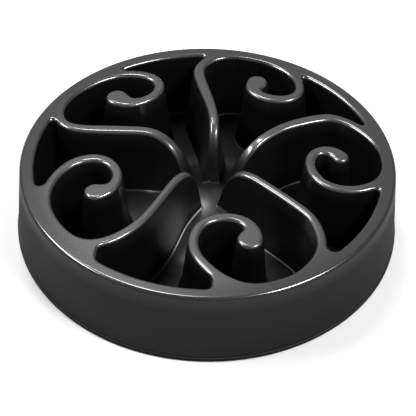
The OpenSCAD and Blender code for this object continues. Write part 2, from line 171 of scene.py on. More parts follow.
SECTORS = (
    SectorPlan(
        FRONT_SHARES,
        (WebRange(13, 16, 273.4, 287), WebRange(19, 21.5, 301, 313.7)),
    ),
    SectorPlan(
        RIGHT_SHARES,
        (WebRange(12, 14.5, 350, 356), WebRange(18, 20.5, 11, 19)),
    ),
    SectorPlan(
        FAR_RIGHT_SHARES,
        (WebRange(9.8, 14, 56.1, 73), WebRange(16, 18, 83, 90.5)),
    ),
    SectorPlan(
        FAR_LEFT_SHARES,
        (WebRange(11, 14, 126.9, 138), WebRange(16, 19.2, 148.5, 157.8)),
    ),
    SectorPlan(
        LEFT_SHARES,
        (WebRange(12.4, 17, 195.7, 214), WebRange(17, 20.6, 215.7, 233.6)),
    ),
)


@dataclass(frozen=True)
class BowlSizes:
    """Driving sizes of the moulding, in millimetres and degrees."""

    rim_radius: float = 130.0
    height: float = 55.0
    skirt_lean: float = 5.0
    wall: float = 2.4
    rim_width: float = 9.9
    rim_round: float = 2.6
    pocket_draft: float = 6.0
    ridge_round: float = 2.6
    ridge_growth: float = 0.8
    ridge_extra: float = 0.35
    foot_round: float = 2.2
    corner_round: float = 3.3
    floor_height: float = 4.2
    floor_thickness: float = 2.0
    dome_rise: float = 16.0
    dome_radius: float = 56.0
    core_drop: float = 2.76

    @property
    def pocket_radius(self) -> float:
        """Radius of the flat ring's inner edge, in millimetres."""
        return self.rim_radius - self.rim_width

    @property
    def skirt_slope(self) -> float:
        """Run of the skirt outwards for each millimetre down, as a ratio."""
        return math.tan(math.radians(self.skirt_lean))

    @property
    def foot_outer(self) -> float:
        """Radius that the leaning skirt would reach on the ground, in millimetres."""
        return self.rim_radius + self.height * self.skirt_slope

    @property
    def rim_line(self) -> float:
        """Radius on which a web ends inside the flat ring, in millimetres."""
        return (self.rim_radius + self.pocket_radius) / 2

    @property
    def rim_centre(self) -> float:
        """Radius of the centre of the rim's rounded edge, tangent to the skirt.

        Returns:
            The radius in millimetres.
        """
        lean = math.radians(self.skirt_lean)
        edge = self.rim_radius + self.rim_round * self.skirt_slope
        return edge - self.rim_round / math.cos(lean)

    def skirt_radius(self, height: float) -> float:
        """Radius of the skirt's outside at a height, both in millimetres."""
        return self.foot_outer - height * self.skirt_slope


@dataclass(frozen=True)
class FootSizes:
    """Driving sizes of the soft foot ring, in millimetres."""

    height: float = 3.5
    pad: float = 1.6
    rebate: float = 1.1
    proud: float = 0.4
    groove: float = 0.4
    lip: float = 1.4
    lip_height: float = 5.0
    fit_gap: float = 0.12
    bead_share: float = 0.9
    bead_points: int = 7
    edge_round: float = 0.3
    edge_blend: float = 0.3


@dataclass(frozen=True)
class MeshDetail:
    """How finely the moulding is meshed."""

    line_steps: int = 7
    grid_step: float = 0.7
    level_lift: float = 1e-7
    settle_rounds: int = 2
    contour_step: float = 1.65
    contour_parts: int = 3
    fill_step: float = 4.0
    middle_step: float = 1.4
    middle_radius: float = 58.0
    nose_step: float = 0.68
    nose_radius: float = 48.0
    nose_sunk: float = 0.8
    fill_clearance: float = 0.3
    merge_distance: float = 1e-5
    rim_points: int = 360
    edge_points: int = 11
    skirt_points: int = 7
    normal_step: float = 0.02


@dataclass
class Field:
    """Plan distances to the ridges' edges, sampled at points."""

    LEAST_REACH = 1e-6

    distance: np.ndarray
    slope: np.ndarray
    top: np.ndarray

    def joined(self, other: "Field", radius: float) -> "Field":
        """Union of two shapes with a rounded inner corner where they cross.

        Args:
            other: The second shape at the same points.
            radius: Radius of the corner, in millimetres.

        Returns:
            The union at the same points.
        """
        along = np.sum(self.slope * other.slope, axis=1)
        corner = radius * np.minimum(1.0, np.sqrt(np.maximum(0.0, 1.0 - along)))
        one = np.maximum(corner - self.distance, 0.0)
        two = np.maximum(corner - other.distance, 0.0)
        reach = np.hypot(one, two)
        nearest = np.minimum(self.distance, other.distance)
        distance = np.maximum(corner, nearest) - reach
        first = self.distance < other.distance
        plain = np.where(first[:, None], self.slope, other.slope)
        mixed = one[:, None] * self.slope + two[:, None] * other.slope
        mixed /= np.maximum(np.linalg.norm(mixed, axis=1), SMALL)[:, None]
        slope = np.where((reach > self.LEAST_REACH)[:, None], mixed, plain)
        return Field(distance, slope, np.where(first, self.top, other.top))


def nearest_on(points: np.ndarray, start: np.ndarray, end: np.ndarray) -> tuple:
    """Nearest places on a straight stretch.

    Args:
        points: Plan points.
        start: Where the stretch starts.
        end: Where it ends.

    Returns:
        Each place as a share of the stretch, the way from it to its point, and the
        length of that way.
    """
    run = end - start
    offset = points - start
    share = np.clip(offset @ run / max(run @ run, TINY), 0.0, 1.0)
    away = offset - share[:, None] * run
    return share, away, np.linalg.norm(away, axis=1)


class RidgeLine:
    """A ridge's centre line, a smooth curve along the rows of its table."""

    LEAST_SUNK = 1e-6
    BEFORE_STRETCH = -0.5
    PAST_STRETCH = 1.5

    def __init__(self, shares: tuple, sizes: BowlSizes, steps: int) -> None:
        """Samples the line.

        Args:
            shares: Rows of across, up, half width and top shares.
            sizes: Driving sizes of the moulding.
            steps: Samples for each row of the table.
        """
        scale = np.array([sizes.rim_radius] * 3 + [sizes.height])
        rows = np.array(shares, float) * scale
        rows[:, 2] += sizes.ridge_extra
        self.rows = np.vstack([rows[:1], rows[:1], rows, rows[-1:], rows[-1:]])
        self.count = len(rows)
        places = np.linspace(0, self.count - 1, (self.count - 1) * steps + 1)
        self.samples = self.at(places)
        runs = np.gradient(self.samples[:, :2], axis=0)
        self.along = runs / np.linalg.norm(runs, axis=1)[:, None]
        self.height = sizes.height
        self.draft_slope = math.tan(math.radians(sizes.pocket_draft))
        level = self.samples[:, 3] > self.height - self.LEAST_SUNK
        self.full = np.flatnonzero(level)[-1]
        self.nearness = self.samples[:, 2].copy()
        self.nearness[self.full :] = self.nearness[self.full]

    def at(self, places: np.ndarray) -> np.ndarray:
        """Points of the uniform cubic B-spline of the table's rows.

        Args:
            places: Places along the line, counted in rows.

        Returns:
            One row of x, y, half width and top for each place, in millimetres.
        """
        cell = np.minimum(np.floor(places).astype(int), self.count - 1)
        t = (places - cell)[:, None]
        weights = (
            (1 - t) ** 3,
            3 * t**3 - 6 * t**2 + 4,
            -3 * t**3 + 3 * t**2 + 3 * t + 1,
            t**3,
        )
        last = len(self.rows) - 1
        parts = [
            weight * self.rows[np.minimum(cell + 1 + k, last)]
            for k, weight in enumerate(weights)
        ]
        return sum(parts) / 6

    def field(self, points: np.ndarray, reach: float, far: float) -> Field:
        """Distance from this ridge's edge, which widens with the draft as it sinks.

        Args:
            points: Plan points, in millimetres.
            reach: Distance beyond which the value needn't be exact.
            far: Value given where no part of the ridge is in reach.

        Returns:
            The ridge's field at the points.
        """
        count = len(points)
        best = np.full(count, far)
        distance = np.full(count, far)
        slope = np.tile(np.array([1.0, 0.0]), (count, 1))
        top = np.full(count, self.height)
        last = len(self.samples) - 2
        for k, (start, end) in enumerate(zip(self.samples[:-1], self.samples[1:])):
            pad = reach + max(start[2], end[2])
            low = np.minimum(start[:2], end[:2]) - pad
            high = np.maximum(start[:2], end[:2]) + pad
            near = np.flatnonzero(np.all((points > low) & (points < high), axis=1))
            if not len(near):
                continue
            share, away, length = nearest_on(points[near], start[:2], end[:2])
            one, two = self.nearness[k : k + 2]
            value = length - (one + share * (two - one))
            better = value < best[near]
            hit = near[better]
            best[hit] = value[better]
            slope[hit] = away[better] / np.maximum(length[better], SMALL)[:, None]
            before = (points[hit] - start[:2]) @ self.along[k]
            after = (end[:2] - points[hit]) @ self.along[k + 1]
            place = before / np.maximum(before + after, SMALL)
            lowest = 0.0 if k == 0 else self.BEFORE_STRETCH
            highest = 1.0 if k == last else self.PAST_STRETCH
            place = np.clip(place, lowest, highest)
            distance[hit] = value[better]
            top[hit] = self.height
            if k >= self.full:
                top[hit] = start[3] + place * (end[3] - start[3])
                distance[hit] += one - (start[2] + place * (end[2] - start[2]))
        distance -= (self.height - top) * self.draft_slope
        return Field(distance, slope, top)


class Web:
    """Flat fill between a ridge line and the rim, with a straight edge at each end."""

    EDGE_POINTS = 12

    def __init__(self, line: RidgeLine, reach: WebRange, sizes: BowlSizes) -> None:
        """Draws the outline along the ridge line and back along the rim.

        Args:
            line: The ridge line that the web joins to the rim.
            reach: Where the web starts and ends.
            sizes: Driving sizes of the moulding.
        """
        ends = line.at(np.array([reach.first_row, reach.last_row]))
        rows = line.at(np.array([reach.first_row, reach.first_row + 1.0]))
        row_length = float(np.linalg.norm(rows[1, :2] - rows[0, :2]))
        half = float(ends[:, 2].mean())
        spare = half / row_length
        turn = math.degrees(half / sizes.rim_line)
        first, last = reach.first_row - spare, reach.last_row + spare
        along = line.at(np.linspace(first, last, self.EDGE_POINTS))
        first, last = reach.last_bearing + turn, reach.first_bearing - turn
        bearings = np.radians(np.linspace(first, last, self.EDGE_POINTS))
        back = sizes.rim_line * np.stack([np.cos(bearings), np.sin(bearings)], axis=1)
        self.outline = np.vstack([along[:, :2], back])
        self.height = sizes.height

    def field(self, points: np.ndarray, reach: float, far: float) -> Field:
        """Distance from the edge of this web.

        Args:
            points: Plan points, in millimetres.
            reach: Distance beyond which the value needn't be exact.
            far: Value given out of reach.

        Returns:
            The web's field at the points.
        """
        count = len(points)
        distance = np.full(count, far)
        slope = np.tile(np.array([1.0, 0.0]), (count, 1))
        low = self.outline.min(axis=0) - reach
        high = self.outline.max(axis=0) + reach
        near = np.flatnonzero(np.all((points > low) & (points < high), axis=1))
        if len(near):
            part = points[near]
            best = np.full(len(near), far)
            direction = np.tile(np.array([1.0, 0.0]), (len(near), 1))
            inside = np.zeros(len(near), bool)
            for start, end in zip(self.outline, np.roll(self.outline, -1, axis=0)):
                _, away, length = nearest_on(part, start, end)
                better = length < best
                best[better] = length[better]
                direction[better] = (
                    away[better] / np.maximum(length[better], SMALL)[:, None]
                )
                run = end - start
                spans = (start[1] > part[:, 1]) != (end[1] > part[:, 1])
                lean = run[0] * (part[:, 1] - start[1]) / (run[1] if run[1] else TINY)
                inside ^= spans & (part[:, 0] < start[0] + lean)
            sign = np.where(inside, -1.0, 1.0)
            distance[near] = best * sign
            slope[near] = direction * sign[:, None]
        return Field(distance, slope, np.full(count, self.height))


class MazeShape:
    """The moulding's surfaces as heights over the plan."""

    REACH = 9.0
    FAR = 30.0
    ROUND_SHARE = 0.45
    ARC_DEGREES = (90, 72, 56, 42, 30, 19, 6)
    WALL_SHARES = (0.2, 0.4, 0.6, 0.78, 0.9)
    FOOT_SHARES = (-0.1, 0.04, 0.16, 0.34, 0.6, 0.92)

    def __init__(self, sizes: BowlSizes, sectors: tuple, detail: MeshDetail) -> None:
        """Builds the ridge lines and their webs.

        Args:
            sizes: Driving sizes of the moulding.
            sectors: The ridge lines and webs.
            detail: How finely the lines are sampled.
        """
        self.sizes = sizes
        self.lines = [RidgeLine(s.shares, sizes, detail.line_steps) for s in sectors]
        self.webs = [
            [Web(line, web, sizes) for web in sector.webs]
            for line, sector in zip(self.lines, sectors)
        ]
        self.draft = math.radians(sizes.pocket_draft)

    def field(self, points: np.ndarray) -> Field:
        """Distance from the edge of all that stands at full height, rim included.

        Args:
            points: Plan points, in millimetres.

        Returns:
            The joined field at the points.
        """
        sizes = self.sizes
        radius = np.maximum(np.linalg.norm(points, axis=1), SMALL)
        total = Field(
            sizes.pocket_radius - radius,
            -points / radius[:, None],
            np.full(len(points), sizes.height),
        )
        for line, webs in zip(self.lines, self.webs):
            sector = line.field(points, self.REACH, self.FAR)
            for web in webs:
                part = web.field(points, self.REACH, self.FAR)
                sector = sector.joined(part, sizes.corner_round)
            total = total.joined(sector, sizes.corner_round)
        return total

    def floor(self, points: np.ndarray) -> np.ndarray:
        """Height of the pocket floor with its dome.

        Args:
            points: Plan points, in millimetres.

        Returns:
            Heights in millimetres.
        """
        sizes = self.sizes
        share = np.minimum(np.linalg.norm(points, axis=1) / sizes.dome_radius, 1.0)
        return sizes.floor_height + sizes.dome_rise * (1 + np.cos(math.pi * share)) / 2

    def upper(self, points: np.ndarray, plan: Field) -> np.ndarray:
        """Height of the visible surface: flat tops, rounded edges, walls and floor.

        Args:
            points: Plan points, in millimetres.
            plan: The field at the points.

        Returns:
            Heights in millimetres.
        """
        sizes, draft = self.sizes, self.draft
        floor = self.floor(points)
        rise = np.maximum(plan.top - floor, 0.0)
        widened = (sizes.height - plan.top) * math.tan(draft)
        edge = sizes.ridge_round + sizes.ridge_growth * widened
        edge = np.minimum(edge, self.ROUND_SHARE * rise)
        foot = np.minimum(sizes.foot_round, self.ROUND_SHARE * rise)
        out = plan.distance + edge
        turn = edge * math.cos(draft)
        across = np.clip(out, 0, turn)
        arc = plan.top - edge + np.sqrt(np.maximum(edge**2 - across**2, 0))
        shoulder = plan.top - edge + edge * math.sin(draft)
        wall = shoulder - (out - turn) / math.tan(draft)
        run = out - (turn + (shoulder - floor) * math.tan(draft))
        centre = foot * (1 - math.sin(draft)) / math.cos(draft)
        bend = -foot * math.tan(draft) * (1 - math.sin(draft))
        dip = np.clip(centre - run, 0, foot)
        fillet = floor + foot - np.sqrt(np.maximum(foot**2 - dip**2, 0))
        height = np.where(out <= turn, arc, np.where(run < bend, wall, fillet))
        return np.maximum(height, floor)

    def lower(self, points: np.ndarray, plan: Field) -> np.ndarray:
        """Height of the hollow underside, one wall thickness inside the visible one.

        Args:
            points: Plan points, in millimetres.
            plan: The field at the points.

        Returns:
            Heights in millimetres.
        """
        sizes, draft = self.sizes, self.draft
        under = self.floor(points) - sizes.floor_thickness
        edge = sizes.ridge_round
        turn = edge * math.cos(draft)
        shoulder = plan.top - edge + edge * math.sin(draft)
        wall = shoulder - (plan.distance + edge + sizes.wall - turn) / math.tan(draft)
        return np.maximum(under, np.minimum(plan.top - sizes.core_drop, wall))

    def levels(self) -> list[float]:
        """Distances at which the mesh has a line of vertices.

        Returns:
            The levels, from the flat tops out to the pocket floor.
        """
        sizes = self.sizes
        edge, foot = sizes.ridge_round, sizes.foot_round
        turn = edge * (math.cos(self.draft) - 1)
        drop = sizes.height - edge + edge * math.sin(self.draft) - sizes.floor_height
        base = turn + drop * math.tan(self.draft)
        arc = [edge * (math.cos(math.radians(a)) - 1) for a in self.ARC_DEGREES]
        walls = [turn + (base - turn) * share for share in self.WALL_SHARES]
        feet = [base + foot * share for share in self.FOOT_SHARES]
        return arc + walls + feet


def level_lines(grid: np.ndarray, level: float) -> list[np.ndarray]:
    """Closed lines of equal value on a square grid, by marching squares.

    Args:
        grid: Values, rows up and columns across.
        level: The value to follow.

    Returns:
        Lines of column and row places.
    """
    above = grid > level
    links: dict = {}
    mixed = (above[:-1, :-1] != above[:-1, 1:]) | (above[:-1, :-1] != above[1:, :-1])
    mixed |= above[:-1, :-1] != above[1:, 1:]
    for row, col in np.argwhere(mixed):
        corners = (
            above[row, col],
            above[row, col + 1],
            above[row + 1, col + 1],
            above[row + 1, col],
        )
        sides = ((row, col, 0), (row, col + 1, 1), (row + 1, col, 0), (row, col, 1))
        others = corners[1:] + corners[:1]
        crossed = [side for side, a, b in zip(sides, corners, others) if a != b]
        if len(crossed) == len(sides):
            middle = grid[row : row + 2, col : col + 2].mean() > level
            if middle == corners[0]:
                pairs = ((sides[0], sides[1]), (sides[2], sides[3]))
            else:
                pairs = ((sides[3], sides[0]), (sides[1], sides[2]))
        else:
            pairs = ((crossed[0], crossed[1]),)
        for one, two in pairs:
            links.setdefault(one, []).append(two)
            links.setdefault(two, []).append(one)
    lines = []
    while links:
        start = next(iter(links))
        chain, here = [start], links.pop(start)[0]
        while here in links:
            chain.append(here)
            following = [n for n in links.pop(here) if n in links]
            if not following:
                break
            here = following[0]
        places = []
        for row, col, upright in chain:
            value = grid[row, col]
            other = grid[row + upright, col + 1 - upright]
            share = (level - value) / (other - value)
            places.append((col + share * (1 - upright), row + share * upright))
        lines.append(np.array(places))
    return lines


def resampled(line: np.ndarray, step: float, least: int = 6) -> np.ndarray:
    """A closed line with points at equal steps along it.

    Args:
        line: Points of the closed line.
        step: Wanted distance between points.
        least: Fewest points given to a short line.

    Returns:
        The new points.
    """
    closed = np.vstack([line, line[:1]])
    lengths = np.linalg.norm(np.diff(closed, axis=0), axis=1)
    along = np.concatenate([[0.0], np.cumsum(lengths)])
    count = max(least, int(round(along[-1] / step)))
    places = np.linspace(0.0, along[-1], count, endpoint=False)
    return np.stack([np.interp(places, along, closed[:, k]) for k in range(2)], axis=1)


class Operation(Enum):
    """Names of the Math node's operations used here."""

    ADD = "ADD"
    SUBTRACT = "SUBTRACT"
    MULTIPLY = "MULTIPLY"


class Signal:
    """A number carried by a node's socket, with the usual arithmetic."""

    def __init__(self, tree: bpy.types.NodeTree, socket: bpy.types.NodeSocket) -> None:
        """Wraps a socket.

        Args:
            tree: The node tree.
            socket: The output socket.
        """
        self.tree = tree
        self.socket = socket

    def _joined(self, operation: Operation, one: object, two: object) -> "Signal":
        """Adds a Math node.

        Args:
            operation: What it does.
            one: First operand, a signal or a number.
            two: Second operand, a signal or a number.

        Returns:
            The result.
        """
        node = self.tree.nodes.new("ShaderNodeMath")
        node.operation = operation.value
        for slot, value in enumerate((one, two)):
            if isinstance(value, Signal):
                self.tree.links.new(value.socket, node.inputs[slot])
            else:
                node.inputs[slot].default_value = float(value)
        return Signal(self.tree, node.outputs[0])

    def __add__(self, other: object) -> "Signal":
        """Sum."""
        return self._joined(Operation.ADD, self, other)

    def __radd__(self, other: object) -> "Signal":
        """Sum with the number first."""
        return self._joined(Operation.ADD, other, self)

    def __sub__(self, other: object) -> "Signal":
        """Difference."""
        return self._joined(Operation.SUBTRACT, self, other)

    def __rsub__(self, other: object) -> "Signal":
        """Difference with the number first."""
        return self._joined(Operation.SUBTRACT, other, self)

    def __mul__(self, other: object) -> "Signal":
        """Product."""
        return self._joined(Operation.MULTIPLY, self, other)

    def __rmul__(self, other: object) -> "Signal":
        """Product with the number first."""
        return self._joined(Operation.MULTIPLY, other, self)


class Shader:
    """The node tree of a material or a world, built node by node."""

    def __init__(self, owner: bpy.types.ID) -> None:
        """Empties the owner's tree.

        Args:
            owner: A new material or world.
        """
        self.owner = owner
        owner.use_nodes = True
        self.tree = owner.node_tree
        self.tree.nodes.clear()

    def node(
        self, kind: str, settings: dict | None = None, **sockets: object
    ) -> bpy.types.Node:
        """Adds a node.

        Args:
            kind: The node's type name.
            settings: Its own properties.
            **sockets: Input values or signals, with spaces written as underscores.

        Returns:
            The node.
        """
        made = self.tree.nodes.new(kind)
        for key, value in (settings or {}).items():
            setattr(made, key, value)
        for key, value in sockets.items():
            target = made.inputs[key.replace("_", " ")]
            if isinstance(value, Signal):
                self.tree.links.new(value.socket, target)
            else:
                target.default_value = value
        return made

    def signal(self, node: bpy.types.Node, output: str) -> Signal:
        """Wraps the output of that name."""
        return Signal(self.tree, node.outputs[output])

    def noise(self, place: Signal, scale: float, detail: float) -> Signal:
        """A noise pattern.

        Args:
            place: Where it is looked up.
            scale: Repeats per metre.
            detail: Octaves.

        Returns:
            Its value, on average the noise's middle.
        """
        made = self.node(
            "ShaderNodeTexNoise", Vector=place, Scale=scale, Detail=detail
        )
        return self.signal(made, "Fac")

    def ramp(self, value: Signal, start: float, end: float) -> Signal:
        """Grows from nought to one between two values and stays there.

        Args:
            value: What is looked up.
            start: Value that gives nought.
            end: Value that gives one.

        Returns:
            The share, from nought to one.
        """
        made = self.node(
            "ShaderNodeMapRange", Value=value, From_Min=start, From_Max=end
        )
        return self.signal(made, "Result")

    def relief(self, height: Signal) -> Signal:
        """Makes a small relief.

        Args:
            height: Height of the surface, in metres.

        Returns:
            The normal.
        """
        made = self.node(
            "ShaderNodeBump", Height=height, Strength=1.0, Distance=1.0
        )
        return self.signal(made, "Normal")

    def tint(self, share: Signal, colour: tuple, pale: tuple) -> Signal:
        """Mixes two colours.

        Args:
            share: Share of the second.
            colour: The first colour.
            pale: The second colour.

        Returns:
            The mixed colour.
        """
        made = self.node("ShaderNodeMix", {"data_type": "RGBA"}, Factor=share)
        slots = [slot for slot in made.inputs if slot.type == "RGBA"]
        for slot, value in zip(slots, (colour, pale)):
            slot.default_value = value
        return Signal(
            self.tree, next(slot for slot in made.outputs if slot.type == "RGBA")
        )

    def blend(
        self, share: Signal, first: bpy.types.Node, second: bpy.types.Node
    ) -> bpy.types.Node:
        """Mixes two surfaces.

        Args:
            share: Share of the second.
            first: The first shader node.
            second: The second shader node.

        Returns:
            The mixing node.
        """
        made = self.node("ShaderNodeMixShader", Fac=share)
        slots = [slot for slot in made.inputs if slot.type == "SHADER"]
        for slot, source in zip(slots, (first, second)):
            self.tree.links.new(source.outputs[0], slot)
        return made

    def finish(self, surface: bpy.types.Node) -> bpy.types.ID:
        """Links the surface to the output.

        Args:
            surface: The shader node.

        Returns:
            The material or the world.
        """
        world = isinstance(self.owner, bpy.types.World)
        output = self.node(
            "ShaderNodeOutputWorld" if world else "ShaderNodeOutputMaterial"
        )
        self.tree.links.new(surface.outputs[0], output.inputs["Surface"])
        return self.owner


@dataclass(frozen=True)
class MouldedPlastic:
    """Black plastic, polished on the tops; the matt pockets are partly painted shade."""

    name: str = "black_satin_plastic"
    colour: tuple = (0.0035, 0.0035, 0.0035, 1.0)
    pale_colour: tuple = (0.0045, 0.0045, 0.0045, 1.0)
    roughness: float = 0.23
    ridge_roughness: float = 0.19
    deep_roughness: float = 0.13
    refraction: float = 1.72
    sheen_share: float = 1.0
    rim_sheen_loss: float = 0.3
    sheen_refraction: float = 1.72
    sheen_roughness: float = 0.11
    # Heights over which the polish fades and the painted shade of the pockets sets in.
    polish_and_shade_top: float = 0.052
    polish_and_shade_foot: float = 0.042
    # Shares of the matt mix: a matt finish that also paints shade into the pockets.
    matt_shade_centre: float = 0.05
    matt_shade_outward: float = 0.75
    dome_reach: float = 0.042
    floor_reach: float = 0.066
    ridge_reach: float = 0.100
    rim_inner: float = 0.1235
    rim_outer: float = 0.1260
    smudge: float = 0.05
    smudge_scale: float = 22.0
    smudge_octaves: float = 3.0
    grain_scale: float = 2600.0
    grain_octaves: float = 2.0
    grain_height: float = 0.000001
    wave_scale: float = 30.0
    wave_octaves: float = 1.0
    wave_height: float = 0.00003

    def material(self) -> bpy.types.Material:
        """Builds the finish.

        Returns:
            The material.
        """
        shader = Shader(bpy.data.materials.new(self.name))
        place = shader.signal(shader.node("ShaderNodeTexCoord"), "Object")
        parts = shader.node("ShaderNodeSeparateXYZ", Vector=place)
        aside, ahead, level = (shader.signal(parts, axis) for axis in "XYZ")
        reach = aside * aside + ahead * ahead
        outward = shader.ramp(reach, self.dome_reach**2, self.floor_reach**2)
        rim = shader.ramp(reach, self.ridge_reach**2, self.rim_inner**2)
        skirt = shader.ramp(reach, self.rim_inner**2, self.rim_outer**2)
        depth = shader.ramp(level, self.polish_and_shade_top, self.polish_and_shade_foot)
        smudge = shader.noise(place, self.smudge_scale, self.smudge_octaves)
        grain = shader.noise(place, self.grain_scale, self.grain_octaves)
        wave = shader.noise(place, self.wave_scale, self.wave_octaves)
        gloss = (
            self.roughness
            + (1.0 - rim) * (1.0 - depth) * self.ridge_roughness
            + depth * self.deep_roughness
            + (smudge - NOISE_MIDDLE) * self.smudge
        )
        height = grain * self.grain_height + wave * self.wave_height
        plastic = shader.node(
            "ShaderNodeBsdfPrincipled",
            Base_Color=shader.tint(smudge, self.colour, self.pale_colour),
            Roughness=gloss,
            Normal=shader.relief(height),
            IOR=self.refraction,
            Coat_Weight=(1.0 - depth) * (self.sheen_share - rim * self.rim_sheen_loss),
            Coat_Roughness=self.sheen_roughness,
            Coat_IOR=self.sheen_refraction,
        )
        # Matt mix by depth: partly a matt finish, partly painted shade that darkens the
        # pockets.
        matt = shader.node("ShaderNodeBsdfDiffuse", Color=self.colour)
        share = depth * (1.0 - skirt) * (self.matt_shade_centre + outward * self.matt_shade_outward)
        return shader.finish(shader.blend(share, plastic, matt))


@dataclass(frozen=True)
class SoftRubber:
    """Matt black elastomer with a fine tooth."""

    name: str = "matt_black_rubber"
    colour: tuple = (0.006, 0.006, 0.006, 1.0)
    pale_colour: tuple = (0.010, 0.010, 0.010, 1.0)
    roughness: float = 0.62
    unevenness: float = 0.1
    tooth_scale: float = 1500.0
    tooth_octaves: float = 3.0
    tooth_height: float = 0.00005

    def material(self) -> bpy.types.Material:
        """Builds the finish.

        Returns:
            The material.
        """
        shader = Shader(bpy.data.materials.new(self.name))
        place = shader.signal(shader.node("ShaderNodeTexCoord"), "Object")
        tooth = shader.noise(place, self.tooth_scale, self.tooth_octaves)
        surface = shader.node(
            "ShaderNodeBsdfPrincipled",
            Base_Color=shader.tint(tooth, self.colour, self.pale_colour),
            Roughness=self.roughness + (tooth - NOISE_MIDDLE) * self.unevenness,
            Normal=shader.relief(tooth * self.tooth_height),
        )
        return shader.finish(surface)


@dataclass(frozen=True)
class PaleFloor:
    """Pale studio floor, dimmer in what the bowl reflects than to the camera."""

    name: str = "pale_floor"
    colour: tuple = (0.86, 0.86, 0.86, 1.0)
    reflected_colour: tuple = (0.18, 0.18, 0.18, 1.0)

    def material(self) -> bpy.types.Material:
        """Builds the finish.

        Returns:
            The material.
        """
        shader = Shader(bpy.data.materials.new(self.name))
        seen = shader.signal(shader.node("ShaderNodeLightPath"), "Is Camera Ray")
        reflected = shader.node(
            "ShaderNodeBsdfDiffuse", Color=self.reflected_colour
        )
        pale = shader.node("ShaderNodeBsdfDiffuse", Color=self.colour)
        return shader.finish(shader.blend(seen, reflected, pale))


def turned(radius: float, height: float, count: int) -> np.ndarray:
    """A ring of points round the bowl's axis.

    Args:
        radius: The ring's radius, in millimetres.
        height: Its height, in millimetres.
        count: Number of points.

    Returns:
        The points, anticlockwise from the right.
    """
    turns = np.arange(count) * FULL_TURN / count
    across, ahead = radius * np.cos(turns), radius * np.sin(turns)
    return np.stack([across, ahead, np.full(count, height)], axis=1)


@dataclass(frozen=True)
class Piece:
    """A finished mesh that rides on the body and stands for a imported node."""

    name: str
    node: str
    slot: str

    def place(
        self,
        vertices: np.ndarray,
        faces: list,
        material: bpy.types.Material,
        normals: np.ndarray | None = None,
    ) -> bpy.types.Object:
        """Makes the object, sets it on the body and hides the imported node.

        Args:
            vertices: Points in millimetres.
            faces: Vertex indices of each face.
            material: The finish.
            normals: Vertex normals, or None to let the faces give them.

        Returns:
            The object.
        """
        mesh = bpy.data.meshes.new(self.name)
        mesh.from_pydata((np.asarray(vertices) * MM).tolist(), [], faces)
        mesh.validate()
        mesh.shade_smooth()
        if normals is not None:
            mesh.normals_split_custom_set_from_vertices(normals.tolist())
        mesh.materials.append(material)
        piece = bpy.data.objects.new(self.name, mesh)
        bpy.context.scene.collection.objects.link(piece)
        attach(piece, BODY)
        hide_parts(self.node)
        return piece


